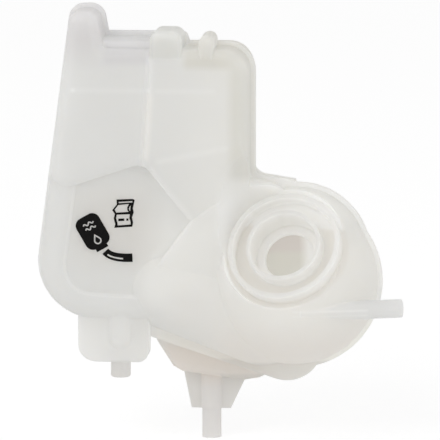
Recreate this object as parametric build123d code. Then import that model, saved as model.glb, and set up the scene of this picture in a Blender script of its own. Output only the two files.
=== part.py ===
from build123d import *
import math
import os

# Walls and clearances, in mm
wall = 3.0
weld_proud = 2.5
weld_half = 2.0
overlap = 0.5
tool_size = 600.0

# Side wall of the slab, leaning out from the horn to the low corner
side_low = (-47.4, 63.7)
side_lean = 7.6
low_corner_r = 33.0

# Top wall and the high corner
top_z = 192.7
high_right_x = 78.5
high_corner_r = 15.0
root_z = top_z - 16.7

# Horn at the top of the side wall
horn_top_z = top_z + 21.8
horn_right_x = -12.0
horn_foot_x = -7.8
horn_r = 6.5
horn_foot_r = 4.0
horn_rear_depth = 16.0

# Raised part of the top wall, between the horn and the bump
raised_top_z = top_z + 5.6
raised_front = 22.0
raised_depth = 24.0
raised_edge_r = 4.0

# Shoulder between the high side and the ball
shoulder_start_z = 113.4
shoulder_end = (103.5, 109.4)
shoulder_r = 8.0

# Bottom edge, front line and rear line
front_low = (15.6, 27.0)
front_low_lean = 3.5
rear_low = (21.6, 17.5)
rear_low_lean = 18.0
rear_low_end_x = 113.0
rear_low_end_r = 19.5
rear_inner_right = (125.0, 30.0)

# Depth of each panel from the weld plane
plateau_depth = 28.0
plateau_edge_r = 6.0
base_depth = 25.0
base_turn = 3.6
base_edge_r = 11.5
base_top_lean = 9.1
base_inner = (103.0, 55.0)
base_inner_r = 17.0
dish_margin = 17.0
dish_depth = 2.0
dish_lift = 40.0
dish_flare = 45.0
cheek_depth = 22.8
cheek_edge_r = 2.2
rear_depth = 34.0
rear_edge_r = 11.0

# Lower edge of the raised panels, down to the point beside the neck
plateau_left_z = 105.0
plateau_step = (-22.2, 111.6)
plateau_notch = (15.7, 124.3)
plateau_point = (43.5, 89.0)
plateau_right = (74.0, 86.0)
plateau_step_r = 10.0
plateau_point_r = 7.0

# Groove between the two raised panels
groove_top = (20.7, 199.0)
groove_width = 3.6

# Cheek between the point and the nose
cheek_tip = (11.5, 46.5)
cheek_low = (60.0, 30.0)
cheek_inner = (85.0, 66.0)
cheek_top = (62.0, 104.0)
cheek_r = 4.0

# Clearance slope from the right panel down to the neck
slope_end = (60.3, 134.0)
slope_lean = 10.0
slope_lead = 12.0

# Ball that carries the filler neck, swelling upwards into a hood
ball_centre = (104.4, 51.3)
ball_r = 50.3
hood_centre = (106.8, 67.5)
hood_step = 9.5
hood_r = ball_r - hood_step

# Tapered nose running from the ball along the bottom edge
nose_tip = (27.5, 48.1)
nose_tip_r = 26.6
nose_root = (85.0, 30.4)
nose_root_r = 30.6

# Filler neck, its lean and its sizes
neck_up = 34.0
neck_turn = 13.0
neck_base = (107.7, 54.9)
facet_sink = 18.3
facet_at = ball_r - facet_sink
facet_r = 37.0
facet_flare = 20.0
facet_reach = 60.0
rim_rise = 10.0
rim_at = facet_at + rim_rise
tube_r = 22.5
tube_wall = 2.2
collar_r = 34.0
collar_wall = 2.8
collar_rise = 9.0
collar_at = facet_at + collar_rise
seat_bore_r = 15.0
seat_sink = 6.0
seat_at = facet_at - seat_sink
seat_thick = 3.0

# Foot and its locating peg
foot_left_x = -24.2
foot_right_x = 18.2
foot_low_z = 2.9
foot_top_z = 48.0
foot_left_r = 10.5
foot_right_r = 6.5
foot_half = 6.4
foot_y = -10.0
foot_boss_r = 9.2
foot_boss_low_z = 8.1
peg_x = 0.8
peg_r = 6.0
peg_length = 9.8
peg_edge = 0.8

# Sump behind the weld line
sump_open_z = 40.0
sump_left_top = (20.8, 12.4)
sump_left_low = (30.8, -3.3)
sump_floor_left = (36.4, -6.5)
sump_floor_right = (74.0, -11.2)
sump_right_low = (83.0, -9.6)
sump_right_top = (90.0, -6.0)
sump_start_y = 4.0
sump_end_y = 28.0
sump_r = 4.0

# Outlet nozzle under the sump, with its webs
outlet_x = 53.3
outlet_y = 16.0
outlet_r = 5.8
outlet_root_r = 6.4
outlet_bore_r = 3.8
outlet_end_z = -47.9
outlet_top_z = 4.0
web_low_z = -30.2
web_low_left_x = 41.2
web_low_right_x = 65.0
web_half = 1.5

# Bleed nipple along the front of the ball
nipple_start = (110.8, -46.3, 40.0)
nipple_turn = 17.9
nipple_length = 62.0
nipple_stub = 20.0
nipple_r = 5.5
nipple_stop_r = 5.9
nipple_root_r = 3.4
nipple_bore_r = 2.6
nipple_port_at = 16.0
nipple_port_depth = 14.0

# Bump and rib that stand on the top wall of the front half
bump_left_x = 20.5
bump_right_x = 39.0
bump_top_z = top_z + 10.9
bump_r = 5.5
rib_left_x = 49.2
rib_right_x = 58.2
rib_top_z = top_z + 8.3
rib_r = 4.3
ridge_low_z = top_z - 6.7
ridge_proud = 0.4
ridge_edge = 1.5


def side_x(z):
    return side_low[0] + (z - side_low[1]) * math.tan(math.radians(side_lean))


def side_meet(point, lean):
    fall = math.tan(math.radians(lean))
    rise = math.tan(math.radians(side_lean))
    x = side_low[0] + (point[1] + fall * point[0] - side_low[1]) * rise
    x = x / (1 + fall * rise)
    return (x, point[1] - fall * (x - point[0]))


def rounded(corners):
    face = make_face(Polyline(*[(x, z) for x, z, r in corners], close=True))
    for x, z, r in corners:
        if r > 0:
            face = fillet(face.vertices().sort_by_distance((x, z, 0))[0], r)
    return face


def disc(centre, radius):
    return Pos(centre[0], centre[1]) * Circle(radius)


def plateau_face():
    return rounded([
        (side_x(plateau_left_z), plateau_left_z, plateau_step_r),
        (side_x(horn_top_z), horn_top_z, horn_r),
        (horn_right_x, horn_top_z, horn_r),
        (horn_foot_x, top_z, horn_foot_r),
        (high_right_x, top_z, high_corner_r),
        (high_right_x, shoulder_start_z, 0),
        (*plateau_right, 0),
        (*plateau_point, plateau_point_r),
        (*plateau_notch, plateau_step_r),
        (*plateau_step, 0),
    ])


def base_face(lift):
    top_end = (shoulder_end[0], shoulder_end[1] + lift)
    return rounded([
        (*side_meet(front_low, front_low_lean), low_corner_r),
        (*side_meet(top_end, base_top_lean), base_inner_r),
        (*top_end, base_inner_r),
        (*base_inner, base_inner_r),
        (*front_low, base_inner_r),
    ])


def cheek_face():
    return rounded([
        (*cheek_tip, cheek_r),
        (*plateau_point, cheek_r),
        (*cheek_top, cheek_r),
        (*cheek_inner, cheek_r),
        (*cheek_low, cheek_r),
    ])


def rear_face():
    fall = math.tan(math.radians(rear_low_lean))
    low_end = (rear_low_end_x, rear_low[1] - fall * (rear_low_end_x - rear_low[0]))
    return rounded([
        (*side_meet(rear_low, rear_low_lean), low_corner_r),
        (side_x(top_z), top_z, high_corner_r),
        (high_right_x, top_z, high_corner_r),
        (high_right_x, shoulder_start_z, shoulder_r),
        (*shoulder_end, 0),
        (*rear_inner_right, 0),
        (*low_end, rear_low_end_r),
    ])


def horn_face():
    return rounded([
        (side_x(root_z), root_z, 0),
        (side_x(horn_top_z), horn_top_z, horn_r),
        (horn_right_x, horn_top_z, horn_r),
        (horn_foot_x, root_z, 0),
    ])


def raised_face():
    return rounded([
        (side_x(raised_top_z) + raised_edge_r, root_z, 0),
        (side_x(raised_top_z) + raised_edge_r, raised_top_z, raised_edge_r),
        (bump_right_x, raised_top_z, raised_edge_r),
        (bump_right_x, root_z, 0),
    ])


def swell_profile(span, first_r, second_r):
    lean = math.asin((second_r - first_r) / span)
    first_half = math.pi / 4 - lean / 2
    second_half = math.pi / 4 + lean / 2
    first_end = (-first_r * math.sin(lean), first_r * math.cos(lean))
    second_end = (span - second_r * math.sin(lean), second_r * math.cos(lean))
    first_mid = (-first_r * math.cos(first_half), first_r * math.sin(first_half))
    second_mid = (span + second_r * math.cos(second_half), second_r * math.sin(second_half))
    return make_face([
        Line((span + second_r, 0), (-first_r, 0)),
        ThreePointArc((-first_r, 0), first_mid, first_end),
        Line(first_end, second_end),
        ThreePointArc(second_end, second_mid, (span + second_r, 0)),
    ])


def swell(first, first_r, second, second_r):
    start = (first[0], 0, first[1])
    along = (second[0] - first[0], 0, second[1] - first[1])
    plane = Plane(origin=start, x_dir=along, z_dir=(0, -1, 0))
    face = plane * swell_profile(math.hypot(along[0], along[2]), first_r, second_r)
    return revolve(face, Axis(start, along))


def prism(face, near_y, far_y):
    return Pos(0, far_y, 0) * extrude(Plane.XZ * face, far_y - near_y)


def softened(block, edges, edge_r, inset):
    if inset == 0:
        return fillet(edges, edge_r)
    if edge_r > inset:
        return chamfer(edges, (2 - math.sqrt(2)) * (edge_r - inset))
    return block


def panel(face, depth, edge_r, inset):
    shrunk = offset(face, -inset) if inset else face
    block = prism(shrunk, inset - depth, 0)
    return softened(block, block.faces().sort_by(Axis.Y)[0].edges(), edge_r, inset)


def base_plane():
    turn = math.radians(base_turn)
    along = (math.cos(turn), math.sin(turn), 0)
    out = (math.sin(turn), -math.cos(turn), 0)
    return Plane(origin=(side_low[0], -base_depth, 0), x_dir=along, z_dir=out)


def dish(inset):
    spread = 1 / math.cos(math.radians(dish_flare)) - math.tan(math.radians(dish_flare))
    face = offset(base_face(dish_lift), inset * spread - dish_margin)
    floor = base_plane() * Pos(-side_low[0], 0, -dish_depth - inset) * face
    return extrude(floor, dish_margin - dish_depth, taper=-dish_flare)


def base_panel(inset):
    shrunk = offset(base_face(0), -inset) if inset else base_face(0)
    block = prism(shrunk, -plateau_depth, 0)
    plane = base_plane()
    tool = Box(tool_size, tool_size, tool_size, align=(Align.CENTER, Align.CENTER, Align.MIN))
    block -= plane * Pos(0, 0, -inset) * tool
    block = softened(block, block.faces().sort_by(Axis.Y)[0].edges(), base_edge_r, inset)
    return block - dish(inset)


def groove():
    low = Vector(plateau_notch[0], -plateau_depth, plateau_notch[1])
    high = Vector(groove_top[0], -plateau_depth, groove_top[1])
    plane = Plane(origin=low, x_dir=(0, -1, 0), z_dir=high - low)
    side = groove_width / math.sqrt(2)
    bar = Box(side, side, (high - low).length, align=(Align.CENTER, Align.CENTER, Align.MIN))
    return plane * Rot(0, 0, 45) * bar


def back_panel(face, depth, edge_r, inset):
    shrunk = offset(face, -inset) if inset else face
    block = prism(shrunk, 0, depth - inset)
    return softened(block, block.faces().sort_by(Axis.Y)[-1].edges(), edge_r, inset)


def raised_block(inset):
    shrunk = offset(raised_face(), -inset) if inset else raised_face()
    block = prism(shrunk, inset - raised_front, raised_depth - inset)
    if inset:
        return block
    ends = block.faces().sort_by(Axis.Y)
    return chamfer(ends[0].edges() + ends[-1].edges(), ridge_edge)


def slope_tool(inset):
    run = (slope_end[0] - plateau_notch[0], slope_end[1] - plateau_notch[1])
    length = math.hypot(*run)
    down = (run[1] / length, -run[0] / length)
    lean = math.radians(slope_lean)
    out = (down[0] * math.sin(lean), -math.cos(lean), down[1] * math.sin(lean))
    origin = (plateau_notch[0], -plateau_depth, plateau_notch[1])
    plane = Plane(origin=origin, x_dir=(run[0], 0, run[1]), z_dir=out)
    block = Box(tool_size, tool_size, tool_size, align=(Align.MIN, Align.CENTER, Align.MIN))
    return plane * Pos(-slope_lead, 0, -inset) * block


def neck_plane():
    turn = math.radians(neck_turn)
    up = math.radians(neck_up)
    axis = (-math.sin(turn) * math.cos(up), -math.cos(turn) * math.cos(up), math.sin(up))
    origin = (neck_base[0], 0, neck_base[1])
    return Plane(origin=origin, x_dir=(math.cos(turn), -math.sin(turn), 0), z_dir=axis)


def neck_plug(radius, low, high):
    plug = Cylinder(radius, high - low, align=(Align.CENTER, Align.CENTER, Align.MIN))
    return neck_plane() * Pos(0, 0, low) * plug


def spot_face(inset):
    flare = math.radians(facet_flare)
    low_r = facet_r + inset * (1 / math.cos(flare) - math.tan(flare))
    high_r = low_r + facet_reach * math.tan(flare)
    tool = Cone(low_r, high_r, facet_reach, align=(Align.CENTER, Align.CENTER, Align.MIN))
    return neck_plane() * Pos(0, 0, facet_at - inset) * tool


def sump(inset):
    face = make_face(Polyline(
        (sump_left_top[0], sump_open_z), sump_left_top, sump_left_low, sump_floor_left,
        sump_floor_right, sump_right_low, sump_right_top, (sump_right_top[0], sump_open_z), close=True))
    shrunk = offset(face, -inset) if inset else face
    block = prism(shrunk, sump_start_y + inset, sump_end_y - inset)
    ends = block.faces().sort_by(Axis.Y)
    return softened(block, ends[0].edges() + ends[-1].edges(), sump_r, inset)


def ridge(left_x, right_x, top, corner_r, inset):
    face = rounded([
        (left_x + inset, ridge_low_z, 0),
        (left_x + inset, top - inset, corner_r - inset),
        (right_x - inset, top - inset, corner_r - inset),
        (right_x - inset, ridge_low_z, 0),
    ])
    block = prism(face, inset - plateau_depth - ridge_proud, 0)
    if inset:
        return block
    return chamfer(block.faces().sort_by(Axis.Y)[0].edges(), ridge_edge)


def form(inset):
    raised = panel(plateau_face(), plateau_depth, plateau_edge_r, inset) - slope_tool(inset)
    front = raised + base_panel(inset)
    front += panel(cheek_face(), cheek_depth, cheek_edge_r, inset)
    rear = back_panel(rear_face(), rear_depth, rear_edge_r, inset)
    rear += back_panel(horn_face(), horn_rear_depth, horn_r - overlap, inset)
    rear += raised_block(inset)
    rear += sump(inset)
    body = front + rear + swell(hood_centre, hood_r - inset, ball_centre, ball_r - inset)
    body += swell(nose_tip, nose_tip_r - inset, nose_root, nose_root_r - inset)
    body += ridge(bump_left_x, bump_right_x, bump_top_z, bump_r, inset)
    return body - spot_face(inset)


def weld_flange():
    front = plateau_face() + base_face(0) + disc(nose_tip, nose_tip_r) + disc(nose_root, nose_root_r)
    rear = rear_face() + horn_face() + raised_face() + disc(ball_centre, ball_r) + disc(hood_centre, hood_r)
    return prism(offset(front + rear, weld_proud), -weld_half, weld_half)


def foot():
    face = rounded([
        (foot_left_x, foot_low_z, foot_left_r),
        (foot_left_x, foot_top_z, 0),
        (foot_right_x, foot_top_z, 0),
        (foot_right_x, foot_low_z, foot_right_r),
    ])
    plate = prism(face, foot_y - foot_half, foot_y + foot_half)
    low = foot_boss_low_z + foot_boss_r
    post = Cylinder(foot_boss_r, foot_top_z - low, align=(Align.CENTER, Align.CENTER, Align.MIN))
    boss = Pos(peg_x, foot_y, low) * (post + Sphere(foot_boss_r))
    pin = Cylinder(peg_r, peg_length + overlap, align=(Align.CENTER, Align.CENTER, Align.MIN))
    pin = chamfer(pin.faces().sort_by(Axis.Z)[0].edges(), peg_edge)
    return plate + boss + Pos(peg_x, foot_y, foot_low_z - peg_length) * pin


def upright(radius, low, high):
    pin = Cylinder(radius, high - low, align=(Align.CENTER, Align.CENTER, Align.MIN))
    return Pos(outlet_x, outlet_y, low) * pin


def outlet():
    web = make_face(Polyline(
        (sump_floor_left[0], 0), sump_floor_left, (web_low_left_x, web_low_z),
        (web_low_right_x, web_low_z), sump_floor_right, (sump_floor_right[0], 0), close=True))
    webs = prism(web, outlet_y - web_half, outlet_y + web_half)
    return webs + upright(outlet_root_r, web_low_z, 0) + upright(outlet_r, outlet_end_z, 0)


def nipple_plane():
    turn = math.radians(nipple_turn)
    return Plane(origin=nipple_start, x_dir=(0, 0, 1), z_dir=(math.cos(turn), math.sin(turn), 0))


def nipple_rod(radius, low, high):
    rod = Cylinder(radius, high - low, align=(Align.CENTER, Align.CENTER, Align.MIN))
    return nipple_plane() * Pos(0, 0, low) * rod


def nipple():
    stop_at = nipple_length - nipple_stub
    root = Cone(nipple_root_r, nipple_stop_r, stop_at, align=(Align.CENTER, Align.CENTER, Align.MIN))
    return nipple_plane() * root + nipple_rod(nipple_r, stop_at - overlap, nipple_length)


def nipple_bore():
    port = Cylinder(nipple_bore_r, nipple_port_depth, align=(Align.CENTER, Align.CENTER, Align.MIN))
    port = nipple_plane() * Pos(0, 0, nipple_port_at) * Rot(90, 0, 0) * port
    return nipple_rod(nipple_bore_r, nipple_port_at, nipple_length) + port


def neck():
    cup = neck_plug(tube_r, seat_at - seat_thick, rim_at)
    cup -= neck_plug(tube_r - tube_wall, seat_at, rim_at + overlap)
    cup -= neck_plug(seat_bore_r, seat_at - seat_thick - overlap, seat_at + overlap)
    collar = neck_plug(collar_r, facet_at - overlap, collar_at)
    collar -= neck_plug(collar_r - collar_wall, facet_at - overlap - overlap, collar_at + overlap)
    return cup + collar


# Whole skin, then the hollow and the passages
skin = form(0)
hollow = form(wall)
solid = skin + weld_flange() + foot() + outlet() + nipple()
solid += ridge(rib_left_x, rib_right_x, rib_top_z, rib_r, 0)
tank = solid - hollow - neck_plug(tube_r - overlap, seat_at - seat_thick, rim_at)
tank += neck()
tank -= upright(outlet_bore_r, outlet_end_z - overlap, outlet_top_z)
tank -= nipple_bore()
tank -= groove()

# Origin on the peg's axis, at its shoulder
tank = Pos(-peg_x, -foot_y, -foot_low_z) * tank
weld_plane = Plane.XZ.offset(foot_y)

# Two mouldings, one each side of the weld plane
front_shell = split(tank, bisect_by=weld_plane, keep=Keep.TOP)
rear_shell = split(tank, bisect_by=weld_plane, keep=Keep.BOTTOM)

os.makedirs("parts", exist_ok=True)
export_step(front_shell, "parts/front_shell.step")
export_step(rear_shell, "parts/rear_shell.step")
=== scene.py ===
import math

import bpy
from mathutils import Matrix, Vector


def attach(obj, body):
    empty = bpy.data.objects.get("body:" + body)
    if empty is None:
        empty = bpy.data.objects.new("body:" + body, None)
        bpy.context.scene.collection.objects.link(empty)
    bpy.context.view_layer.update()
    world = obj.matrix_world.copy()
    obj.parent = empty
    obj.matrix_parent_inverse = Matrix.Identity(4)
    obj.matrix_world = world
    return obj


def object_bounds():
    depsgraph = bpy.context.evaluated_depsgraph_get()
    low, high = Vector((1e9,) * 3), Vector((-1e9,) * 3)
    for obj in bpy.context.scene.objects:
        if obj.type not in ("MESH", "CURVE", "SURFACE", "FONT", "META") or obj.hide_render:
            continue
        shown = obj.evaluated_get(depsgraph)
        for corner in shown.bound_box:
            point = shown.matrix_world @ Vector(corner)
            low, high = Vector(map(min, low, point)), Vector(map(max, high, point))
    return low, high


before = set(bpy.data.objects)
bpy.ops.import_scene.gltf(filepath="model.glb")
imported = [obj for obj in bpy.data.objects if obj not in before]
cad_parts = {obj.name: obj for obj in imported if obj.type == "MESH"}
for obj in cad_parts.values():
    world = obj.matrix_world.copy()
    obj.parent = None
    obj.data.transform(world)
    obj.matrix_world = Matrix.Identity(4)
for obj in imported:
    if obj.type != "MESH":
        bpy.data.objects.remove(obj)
cad_low, cad_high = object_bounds()

MM = 0.001

# Camera, as in the photograph
view_azimuth = 5.0
view_elevation = 9.0
view_target = Vector((58.1, 18.5, 82.9)) * MM
view_distance = 3.0
view_width = 264.0 * MM
view_end = 100.0
sensor_width = 36.0

# Plane of the dish that carries the printed signs
dish_turn = 3.6
dish_point = Vector((-48.33, -13.0, 0.0)) * MM
ink_thick = 0.16

# Canister sign, in mm on the dish, with a drop and two waves left open in it
canister_centre = (-15.5, 79.6)
canister_turn = 29.6
canister_width = 15.4
canister_length = 20.7
canister_corner = 4.7
canister_neck_width = 7.6
canister_neck_end = 12.2
corner_steps = 8
open_line = 0.85
drop_at = -5.1
drop_length = 6.8
drop_radius = 2.3
drop_steps = 20
wave_rows = (5.3, 2.4)
wave_length = 6.6
wave_height = 0.7
wave_pitch = 3.3
wave_steps = 24

# Spout sign, in mm on the dish: a bent bar with a slit left open in it
spout_points = ((-8.0, 67.7), (-4.4, 63.2), (8.2, 63.9))
spout_width = (4.7, 5.1)
spout_steps = 14
slit_span = (0.18, 0.76)
slit_shift = -0.6
slit_width = 1.0
slit_steps = 8

# Book sign, in mm on the dish: its outline, what is left open in it and the mark on the lower page
book_outline = (
    (-1.2, 98.9), (8.4, 99.3), (9.6, 98.7), (8.5, 93.6), (9.0, 91.3), (8.0, 88.2), (8.6, 85.0),
    (8.1, 82.6), (-2.6, 81.9), (-2.0, 84.0), (-2.9, 87.6), (-2.2, 90.2), (-3.8, 92.5), (-1.0, 96.0))
book_cover = ((-0.1, 97.5), (8.2, 98.0), (8.2, 97.2), (0.3, 96.7))
book_page = (
    (-0.2, 95.6), (6.3, 96.3), (5.2, 94.3), (5.2, 92.6), (6.0, 91.5), (-1.4, 91.0), (-2.3, 92.8))
book_curl = ((7.3, 95.4), (6.6, 94.7), (6.1, 93.5), (6.4, 92.4), (6.9, 91.8), (7.0, 93.6))
book_low_page = (
    (-1.1, 89.8), (6.7, 90.1), (6.4, 87.9), (7.2, 85.2), (7.2, 83.9), (-0.6, 83.3), (-0.7, 85.1),
    (-1.5, 87.6))
book_bar = ((-0.2, 87.4), (3.4, 87.5), (3.4, 86.1), (-0.2, 85.9))
book_dot = ((4.6, 87.5), (5.8, 87.5), (5.8, 86.2), (4.6, 86.2))

# Tones of the plastic, lighter or darker by region; several are painted light and painted shade, as
# marked below
slab_tone = (0.77, 0.77, 0.755)
ball_tone = (0.88, 0.87, 0.835)
# painted light and painted shade round the neck: the neck, the channel's top, the bore and the facet
# are lighter, and the channel floor and the rims are darker
neck_painted_light_tone = (0.925, 0.92, 0.895)
channel_painted_shade_tone = (0.80, 0.775, 0.73)
channel_top_painted_light_tone = (0.97, 0.965, 0.94)
bore_painted_light_tone = (0.97, 0.955, 0.92)
facet_painted_light_tone = (1.0, 0.995, 0.975)
rim_painted_shade_tone = (0.825, 0.815, 0.785)
# cream flange, with painted light lifting it out of the shade between the shells
flange_cream_painted_light_tone = (0.93, 0.905, 0.83)
# painted shade: the top walls of the lug, the raised block, its ledge, the top right corner, the bump
# and the right side wall are darker where less light falls
horn_painted_shade_tone = (0.685, 0.67, 0.67)
raised_painted_shade_tone = (0.66, 0.65, 0.66)
ledge_painted_shade_tone = (0.64, 0.64, 0.645)
corner_painted_shade_tone = (0.68, 0.665, 0.61)
bump_painted_shade_tone = (0.71, 0.71, 0.68)
right_wall_painted_shade_tone = (0.70, 0.69, 0.64)
cheek_tone = (0.855, 0.85, 0.82)
# painted shade: the dish is darker in its recess
dish_painted_shade_tone = (0.71, 0.69, 0.66)
nose_tone = (0.80, 0.79, 0.765)
ball_low_tone = (0.845, 0.81, 0.77)
ball_top_tone = (0.82, 0.82, 0.795)
foot_tone = (0.805, 0.80, 0.775)
nipple_tone = (0.72, 0.72, 0.71)
peg_tone = (0.62, 0.60, 0.57)
sump_tone = (0.785, 0.72, 0.66)
web_tone = (0.735, 0.715, 0.695)
web_side_tone = (0.61, 0.59, 0.555)
# inner ribs and gate spots seen through the wall, and painted highlights along creases, edges and the
# nipple tube
marks_and_painted_highlight_tone = (1.0, 1.0, 0.98)
seam_tone = (0.97, 0.94, 0.88)
# painted shade inside the filler hole: darker and brown at the top, darker and warm lower down
hole_high_painted_shade_tone = (0.46, 0.34, 0.27)
hole_low_painted_shade_tone = (0.51, 0.48, 0.35)
white_tone = (1.0, 1.0, 1.0)

# Milky depth, clouds, gloss and grain of the plastic, with its edges softened
clear_share = 0.7
clear_lift = 0.8
soak_depth = 7.0 * MM
soak_colour = (1.0, 0.95, 0.85)
cloud_tone = (0.60, 0.59, 0.54)
cloud_scale = 22.0
cloud_share = 0.08
gloss_scale = 70.0
gloss_detail = 4.0
gloss_span = (0.36, 0.5)
plastic_shine = 0.3
edge_radius = 2.4 * MM
edge_samples = 8
grain_scale = 420.0
grain_strength = 0.05
grain_depth = 0.25 * MM

# Ink
ink_dark = (0.003, 0.003, 0.003)
ink_light = (0.008, 0.0075, 0.007)
ink_scale = 900.0
ink_gloss_scale = 300.0
ink_gloss_span = (0.42, 0.6)
ink_shine = 0.06

# Range in which the noise of the materials mostly lies
noise_span = (0.3, 0.7)
noise_detail = 3.0

# Weld plane, ball and neck, in mm and degrees
weld_at = 10.0
weld_half = 0.1
weld_soft = 0.05
flange_half = 2.2
flange = (weld_at - flange_half, weld_at + flange_half)
ball_centre = Vector((103.6, weld_at, 48.4)) * MM
neck_base = Vector((106.9, weld_at, 52.0)) * MM
neck_up = 34.0
neck_turn = 13.0

# Slopes of the directions across the seam and across the edges beside the dish, in degrees from X to Z
slopes = {"seam": -3.83, "upper_edge": 39.8, "lower_edge": -45.0, "top_edge": 101.5}

# Where each tone lies, in mm: its limits, the softness of their edges, the tone and its share.
# X, Y and Z are places, "ball" is the distance from the ball's centre, "height" and "radius" are
# measured along the neck's axis and away from it, and the rest run across a seam or an edge.
below = -300
beyond = 300
panel_skin = (below, -12)
edge_skin = (below, -8)
rib = (163.9, 166.5)
spot = (164.2, 166.2)
front_tints = (
    ({"X": (55, beyond)}, 35, ball_tone, 1.0),
    ({"X": (58, 150), "Y": (below, 9), "Z": (-10, 24)}, 9, ball_low_tone, 1.0),
    ({"X": (104, 150), "Z": (78, 130)}, 6, ball_top_tone, 1.0),
    # painted light: the neck and the facet beside the collar are lighter where they face the light
    ({"X": (62, 116), "Y": (below, -6), "Z": (46, 110)}, 5, neck_painted_light_tone, 1.0),
    ({"X": (61, 79), "Y": (below, -6), "Z": (56, 100)}, 4, facet_painted_light_tone, 1.0),
    # painted shade: the top walls of the lug, the raised block and its ledge, the top right corner and
    # the right side wall are darker where less light falls
    ({"X": (below, -6), "Z": (186, beyond)}, 9, horn_painted_shade_tone, 1.0),
    ({"X": (-8, 19), "Z": (181, beyond)}, 2, raised_painted_shade_tone, 1.0),
    ({"X": (-9, 19), "Z": (194.5, beyond)}, 1, ledge_painted_shade_tone, 1.0),
    # painted light: a pale stripe over the shaded crease under the ledge
    ({"X": (-9, 19), "Y": (below, 5), "Z": (190.6, 193.4)}, 1.2, marks_and_painted_highlight_tone, 0.2),
    ({"X": (40, 90), "Z": (179, beyond)}, 2, corner_painted_shade_tone, 1.0),
    ({"X": (67, 90), "Z": (112, 184)}, 3, right_wall_painted_shade_tone, 1.0),
    ({"X": (14, 60), "Y": (below, 0), "Z": (36, 84)}, 6, cheek_tone, 1.0),
    ({"X": (32, 56), "Y": (below, 0), "Z": (20, 46)}, 7, nose_tone, 1.0),
    # painted shade in the channel round the collar and on the rims; painted light on the channel's top
    # and on the bore
    ({"radius": (23, 37), "height": (28, 35)}, 1, channel_painted_shade_tone, 1.0),
    ({"radius": (23, 37), "height": (28, 35), "Z": (83, 120)}, 1, channel_top_painted_light_tone, 1.0),
    ({"radius": (17, 36), "height": (35.5, 60)}, 0.8, rim_painted_shade_tone, 1.0),
    ({"radius": (17, 21.5), "height": (25, 60)}, 0.8, rim_painted_shade_tone, 1.0),
    ({"radius": (10, 19.2), "height": (20, 39)}, 0.8, bore_painted_light_tone, 1.0),
    # the flange's cream colour, made lighter with painted light
    ({"Y": flange, "Z": (-30, 26)}, 0.3, flange_cream_painted_light_tone, 1.0),
    # painted shade: the top of the bump is darker
    ({"X": (19.5, 39), "Z": (185, beyond)}, 0.8, bump_painted_shade_tone, 1.0),
    # painted shade: the dish is darker in its recess
    ({"X": (-26, 20), "Y": (-16, 0), "Z": (60, 104)}, 9, dish_painted_shade_tone, 1.0),
    ({"X": (-40, 20), "Z": (-1, 26)}, 2, foot_tone, 1.0),
    ({"ball": (51.5, beyond), "X": (100, beyond), "Z": (28, 46)}, 1, nipple_tone, 1.0),
    ({"Z": (below, 0)}, 1, peg_tone, 1.0),
    # painted highlights along the top and bottom of the nipple tube
    ({"X": (106, 150), "Y": (below, -18), "Z": (37.1, 38.1)}, 0.5, marks_and_painted_highlight_tone, 0.6),
    ({"X": (106, 150), "Y": (below, -18), "Z": (34.2, 35.0)}, 0.5, marks_and_painted_highlight_tone, 0.5),
    ({"X": (-28, 17.3), "Y": panel_skin, "Z": rib}, 1.3, marks_and_painted_highlight_tone, 0.28),
    ({"X": (22.1, 58.3), "Y": panel_skin, "Z": rib}, 1.3, marks_and_painted_highlight_tone, 0.28),
    ({"X": (18.1, 20.7), "Y": panel_skin, "Z": (164.3, 185)}, 1.2, marks_and_painted_highlight_tone, 0.4),
    ({"seam": (6.0, 10.6), "Y": panel_skin, "Z": (124, 164)}, 1.4, seam_tone, 0.6),
    # painted highlights along the creases right of the dish
    ({"upper_edge": (87.6, 91.6), "X": (20, 44), "Y": edge_skin}, 1.6, marks_and_painted_highlight_tone, 0.45),
    ({"lower_edge": (-33.0, -29.0), "X": (19, 43), "Y": edge_skin}, 1.6, marks_and_painted_highlight_tone, 0.35),
    ({"top_edge": (114.0, 117.4), "X": (23, 66), "Y": edge_skin}, 1.3, marks_and_painted_highlight_tone, 0.28),
    ({"X": (-27.1, -25.1), "Y": panel_skin, "Z": spot}, 0.8, marks_and_painted_highlight_tone, 1.0),
    ({"X": (17.5, 19.5), "Y": panel_skin, "Z": spot}, 0.8, marks_and_painted_highlight_tone, 1.0),
)
rear_tints = (
    ({"X": (55, beyond)}, 35, ball_tone, 1.0),
    # painted shade on the top walls, as on the front
    ({"X": (below, -6), "Z": (186, beyond)}, 9, horn_painted_shade_tone, 1.0),
    ({"X": (-8, 19), "Z": (190, beyond)}, 2, raised_painted_shade_tone, 1.0),
    ({"X": (40, 90), "Z": (184, beyond)}, 2, corner_painted_shade_tone, 1.0),
    ({"X": (20, 90), "Y": (weld_at, 50), "Z": (below, 12)}, 8, sump_tone, 1.0),
    ({"X": (20, 90), "Y": (weld_at, 50), "Z": (below, -16)}, 4, web_tone, 1.0),
    ({"X": (20, 46.3), "Y": (weld_at, 50), "Z": (-40, -10)}, 0.8, web_side_tone, 1.0),
    ({"X": (58.7, 90), "Y": (weld_at, 50), "Z": (-40, -10)}, 0.8, web_side_tone, 1.0),
    # the flange's cream colour, made lighter with painted light
    ({"Y": flange, "Z": (-30, 26)}, 0.3, flange_cream_painted_light_tone, 1.0),
    # painted shade on the inside seen through the filler hole; its right part is kept at the ball tone
    ({"ball": (0, 47.9), "X": (70, 140), "Z": (20, 90)}, 0.5, hole_low_painted_shade_tone, 1.0),
    ({"ball": (0, 47.9), "X": (70, 140), "Z": (58, 90)}, 2, hole_high_painted_shade_tone, 1.0),
    ({"X": (106, 160), "Y": (20, 70), "Z": (20, 90)}, 3, ball_tone, 1.0),
)

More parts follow.
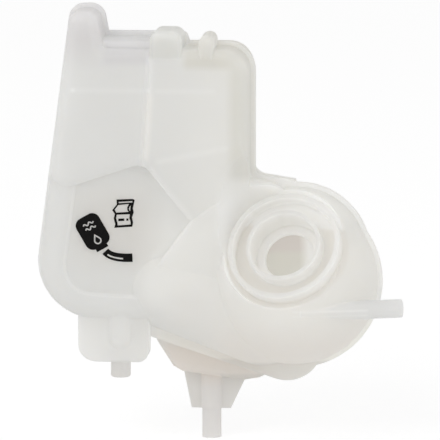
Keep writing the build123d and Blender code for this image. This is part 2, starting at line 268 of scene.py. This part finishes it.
# Floor and light
floor_size = 14.0
floor_gap = 0.5 * MM
floor_tone = (0.97, 0.97, 0.97)
floor_roughness = 0.9
floor_lift = 0.66
floor_glow = 1.12
world_level = 0.655
seen_level = 1.0
key_place = Vector((-1.1, -1.9, 1.9))
key_size = 1.8
key_power = 24.0
fill_place = Vector((1.8, -1.4, 0.7))
fill_size = 1.6
fill_power = 6.0


def feed(tree, socket, value):
    if isinstance(value, bpy.types.NodeSocket):
        tree.links.new(value, socket)
    elif socket.type == "RGBA":
        socket.default_value = (*value, 1.0)
    else:
        socket.default_value = value


def add_node(tree, kind, **values):
    node = tree.nodes.new(kind)
    for name, value in values.items():
        feed(tree, node.inputs[name.replace("_", " ").title()], value)
    return node


def maths(tree, operation, first, second):
    node = tree.nodes.new("ShaderNodeMath")
    node.operation = operation
    feed(tree, node.inputs[0], first)
    feed(tree, node.inputs[1], second)
    return node.outputs[0]


def vector_maths(tree, operation, *values):
    node = tree.nodes.new("ShaderNodeVectorMath")
    node.operation = operation
    for socket, value in zip(node.inputs, values):
        feed(tree, socket, value)
    return node


def spread(tree, value, start, end, low, high):
    node = add_node(
        tree, "ShaderNodeMapRange", value=value, from_min=start, from_max=end, to_min=low, to_max=high)
    return node.outputs["Result"]


def noise(tree, place, scale, detail=noise_detail):
    return add_node(tree, "ShaderNodeTexNoise", vector=place, scale=scale, detail=detail).outputs["Fac"]


def mottle(tree, place, scale, low, high, detail=noise_detail):
    return spread(tree, noise(tree, place, scale, detail), *noise_span, low, high)


def blend_colours(tree, share, first, second):
    node = tree.nodes.new("ShaderNodeMix")
    node.data_type = "RGBA"
    feed(tree, node.inputs["Factor"], share)
    colours = [socket for socket in node.inputs if socket.type == "RGBA"]
    for socket, colour in zip(colours, (first, second)):
        feed(tree, socket, colour)
    return next(socket for socket in node.outputs if socket.type == "RGBA")


def blend_shaders(tree, share, first, second):
    node = tree.nodes.new("ShaderNodeMixShader")
    for socket, value in zip(node.inputs, (share, first, second)):
        feed(tree, socket, value)
    return node.outputs["Shader"]


def window(tree, value, low, high, soft):
    rise = spread(tree, value, (low - soft) * MM, (low + soft) * MM, 0.0, 1.0)
    fall = spread(tree, value, (high - soft) * MM, (high + soft) * MM, 1.0, 0.0)
    return maths(tree, "MULTIPLY", rise, fall)


def region(tree, along, limits, soft, share):
    inside = share
    for measure, (low, high) in limits.items():
        inside = maths(tree, "MULTIPLY", inside, window(tree, along[measure], low, high, soft))
    return inside


def direction(turn, up):
    flat = math.cos(math.radians(up))
    turn = math.radians(turn)
    return Vector((math.sin(turn) * flat, -math.cos(turn) * flat, math.sin(math.radians(up))))


def measures(tree, place):
    split = add_node(tree, "ShaderNodeSeparateXYZ", vector=place)
    along = {axis: split.outputs[axis] for axis in "XYZ"}
    along["ball"] = vector_maths(tree, "DISTANCE", place, ball_centre).outputs["Value"]
    neck_axis = direction(-neck_turn, neck_up)
    from_base = vector_maths(tree, "SUBTRACT", place, neck_base).outputs["Vector"]
    along["height"] = vector_maths(tree, "DOT_PRODUCT", from_base, neck_axis).outputs["Value"]
    turned = vector_maths(tree, "CROSS_PRODUCT", from_base, neck_axis).outputs["Vector"]
    along["radius"] = vector_maths(tree, "LENGTH", turned).outputs["Value"]
    for name, slope in slopes.items():
        across = (math.cos(math.radians(slope)), 0.0, math.sin(math.radians(slope)))
        along[name] = vector_maths(tree, "DOT_PRODUCT", place, across).outputs["Value"]
    return along


def new_material(name):
    material = bpy.data.materials.new(name)
    material.use_nodes = True
    tree = material.node_tree
    return material, tree, tree.nodes["Principled BSDF"]


def moulded_normal(tree, place):
    soft = add_node(tree, "ShaderNodeBevel", radius=edge_radius)
    soft.samples = edge_samples
    grain = add_node(
        tree, "ShaderNodeBump", strength=grain_strength, distance=grain_depth,
        height=noise(tree, place, grain_scale), normal=soft.outputs["Normal"])
    return grain.outputs["Normal"]


def plastic(name, tints):
    material, tree, shader = new_material(name)
    place = tree.nodes.new("ShaderNodeTexCoord").outputs["Object"]
    along = measures(tree, place)
    tone = slab_tone
    # each region's tone is laid over the slab tone, the painted light and painted shade among them
    for limits, soft, colour, share in tints:
        tone = blend_colours(tree, region(tree, along, limits, soft, share), tone, colour)
    tone = blend_colours(tree, mottle(tree, place, cloud_scale, 0.0, cloud_share), tone, cloud_tone)
    gloss = mottle(tree, place, gloss_scale, *gloss_span, gloss_detail)
    tree.links.new(tone, shader.inputs["Base Color"])
    tree.links.new(gloss, shader.inputs["Roughness"])
    tree.links.new(moulded_normal(tree, place), shader.inputs["Normal"])
    shader.inputs["Specular IOR Level"].default_value = plastic_shine
    shader.inputs["Subsurface Weight"].default_value = 1.0
    shader.inputs["Subsurface Radius"].default_value = soak_colour
    shader.inputs["Subsurface Scale"].default_value = soak_depth
    clear = blend_colours(tree, clear_lift, tone, white_tone)
    through = add_node(tree, "ShaderNodeBsdfTranslucent", color=clear)
    wall = blend_shaders(tree, clear_share, shader.outputs["BSDF"], through.outputs["BSDF"])
    weld = window(tree, along["Y"], weld_at - weld_half, weld_at + weld_half, weld_soft)
    unseen = tree.nodes.new("ShaderNodeBsdfTransparent").outputs["BSDF"]
    joined = blend_shaders(tree, weld, wall, unseen)
    tree.links.new(joined, tree.nodes["Material Output"].inputs["Surface"])
    return material


def ink(name):
    material, tree, shader = new_material(name)
    place = tree.nodes.new("ShaderNodeTexCoord").outputs["Object"]
    tone = blend_colours(tree, mottle(tree, place, ink_scale, 0.0, 1.0), ink_dark, ink_light)
    tree.links.new(tone, shader.inputs["Base Color"])
    tree.links.new(mottle(tree, place, ink_gloss_scale, *ink_gloss_span), shader.inputs["Roughness"])
    shader.inputs["Specular IOR Level"].default_value = ink_shine
    return material


def seen_share(tree):
    path = tree.nodes.new("ShaderNodeLightPath").outputs
    seen = maths(tree, "MAXIMUM", path["Is Camera Ray"], path["Is Glossy Ray"])
    return maths(tree, "MAXIMUM", seen, path["Is Transmission Ray"])


def pale(name):
    material, tree, shader = new_material(name)
    feed(tree, shader.inputs["Base Color"], floor_tone)
    shader.inputs["Roughness"].default_value = floor_roughness
    glow = add_node(tree, "ShaderNodeEmission", color=white_tone, strength=floor_glow)
    lift = maths(tree, "MULTIPLY", seen_share(tree), floor_lift)
    surface = blend_shaders(tree, lift, shader.outputs["BSDF"], glow.outputs["Emission"])
    tree.links.new(surface, tree.nodes["Material Output"].inputs["Surface"])
    return material


def add_object(name, data):
    added = bpy.data.objects.new(name, data)
    bpy.context.scene.collection.objects.link(added)
    return added


def dish_matrix():
    turn = math.radians(dish_turn)
    along = Vector((math.cos(turn), math.sin(turn), 0.0))
    up = Vector((0.0, 0.0, 1.0))
    matrix = Matrix((along, up, along.cross(up))).transposed().to_4x4()
    matrix.translation = dish_point - along * (dish_point.x / along.x)
    return matrix


def printed(name, outlines, material):
    curve = bpy.data.curves.new(name, "CURVE")
    curve.dimensions = "2D"
    curve.fill_mode = "BOTH"
    curve.extrude = ink_thick / 2
    for points in outlines:
        spline = curve.splines.new("POLY")
        spline.points.add(len(points) - 1)
        for target, (x, z) in zip(spline.points, points):
            target.co = (x, z, 0.0, 1.0)
        spline.use_cyclic_u = True
    drawn = add_object(name + "_drawn", curve)
    bpy.context.view_layer.update()
    mesh = bpy.data.meshes.new_from_object(drawn.evaluated_get(bpy.context.evaluated_depsgraph_get()))
    mesh.name = name
    bpy.data.objects.remove(drawn)
    bpy.data.curves.remove(curve)
    mesh.transform(dish_matrix() @ Matrix.Scale(MM, 4))
    mesh.materials.clear()
    mesh.materials.append(material)
    piece = add_object(name, mesh)
    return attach(piece, "root")


def arc(centre, radius, start, end, steps):
    points = []
    for i in range(steps + 1):
        angle = math.radians(start + (end - start) * i / steps)
        points.append((centre[0] + radius * math.cos(angle), centre[1] + radius * math.sin(angle)))
    return points


def placed(points, centre, turn):
    c = math.cos(math.radians(turn))
    s = math.sin(math.radians(turn))
    return [(centre[0] + c * x - s * y, centre[1] + s * x + c * y) for x, y in points]


def ribbon(points, width_from, width_to, shift=0.0):
    upper, lower = [], []
    last = len(points) - 1
    for i, point in enumerate(points):
        run = (points[min(i + 1, last)] - points[max(i - 1, 0)]).normalized()
        across = Vector((-run.y, run.x))
        half = (width_from + (width_to - width_from) * i / last) / 2
        upper.append(tuple(point + across * (shift + half)))
        lower.append(tuple(point + across * (shift - half)))
    return upper + lower[::-1]


def canister_outline():
    x = canister_width / 2 - canister_corner
    y = canister_length / 2 - canister_corner
    bottom = -canister_length / 2
    side = canister_neck_width / 2
    neck = [(-side, bottom), (-side, -canister_neck_end), (side, -canister_neck_end), (side, bottom)]
    arcs = []
    for i, centre in enumerate(((x, y), (-x, y), (-x, -y), (x, -y))):
        arcs.append(arc(centre, canister_corner, 90 * i, 90 * i + 90, corner_steps))
    points = arcs[0] + arcs[1] + arcs[2] + neck + arcs[3]
    return placed(points, canister_centre, canister_turn)


def drop_outline(radius):
    reach = (drop_length - drop_radius) * radius / drop_radius
    half = math.degrees(math.acos(radius / reach))
    low = (0.0, drop_at + drop_radius - drop_length / 2)
    points = [(0.0, low[1] + reach)] + arc(low, radius, 90 + half, 450 - half, drop_steps)
    return placed(points, canister_centre, canister_turn)


def wave_outline(row):
    points = []
    for i in range(wave_steps + 1):
        x = wave_length * (i / wave_steps - 0.5)
        points.append(Vector((x, row + wave_height * math.sin(2 * math.pi * x / wave_pitch))))
    return placed(ribbon(points, open_line, open_line), canister_centre, canister_turn)


def bend(share_from, share_to, steps):
    first, middle, last = [Vector(point) for point in spout_points]
    points = []
    for i in range(steps + 1):
        t = share_from + (share_to - share_from) * i / steps
        points.append(first * (1 - t) ** 2 + middle * 2 * t * (1 - t) + last * t ** 2)
    return points


def aim(piece, place, towards):
    piece.location = place
    piece.rotation_mode = "QUATERNION"
    piece.rotation_quaternion = towards.to_track_quat("-Z", "Y")


def soft_lamp(name, place, size, power):
    lamp = bpy.data.lights.new(name, "AREA")
    lamp.shape = "DISK"
    lamp.size = size
    lamp.energy = power
    aim(add_object(name, lamp), place, view_target - place)


# Signs
black = ink("sign_ink")
drop = [drop_outline(drop_radius), drop_outline(drop_radius - open_line)]
waves = [wave_outline(row) for row in wave_rows]
printed("sign_canister", [canister_outline(), *drop, *waves], black)
spout = ribbon(bend(0.0, 1.0, spout_steps), *spout_width)
slit = ribbon(bend(*slit_span, slit_steps), slit_width, slit_width, slit_shift)
printed("sign_spout", [spout, slit], black)
book = [book_outline, book_cover, book_page, book_curl, book_low_page, book_bar, book_dot]
printed("sign_book", book, black)

# Mouldings
front = plastic("front_plastic", front_tints)
rear = plastic("rear_plastic", rear_tints)
for node, material in (("front_shell", front), ("rear_shell", rear)):
    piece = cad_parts[node]
    piece.data.materials.clear()
    piece.data.materials.append(material)

# Floor
half = floor_size / 2
level = cad_low.z - floor_gap
corners = [(-half, -half, level), (half, -half, level), (half, half, level), (-half, half, level)]
floor_mesh = bpy.data.meshes.new("floor")
floor_mesh.from_pydata(corners, [], [(0, 1, 2, 3)])
floor_mesh.materials.append(pale("pale_floor"))
floor = add_object("floor", floor_mesh)

# World light
world = bpy.data.worlds.new("studio")
bpy.context.scene.world = world
world.use_nodes = True
tree = world.node_tree
light = tree.nodes["Background"]
feed(tree, light.inputs["Color"], white_tone)
light.inputs["Strength"].default_value = world_level
seen = add_node(tree, "ShaderNodeBackground", color=white_tone, strength=seen_level)
surface = blend_shaders(tree, seen_share(tree), light.outputs["Background"], seen.outputs["Background"])
tree.links.new(surface, tree.nodes["World Output"].inputs["Surface"])

# Lamps
soft_lamp("key", key_place, key_size, key_power)
soft_lamp("fill", fill_place, fill_size, fill_power)

# Camera
camera = bpy.data.cameras.new("camera")
camera.sensor_width = sensor_width
camera.lens = sensor_width * view_distance / view_width
camera.clip_end = view_end
back = direction(view_azimuth, view_elevation)
eye = add_object("camera", camera)
aim(eye, view_target + back * view_distance, -back)
bpy.context.scene.camera = eye

bpy.context.scene.view_settings.view_transform = "Standard"
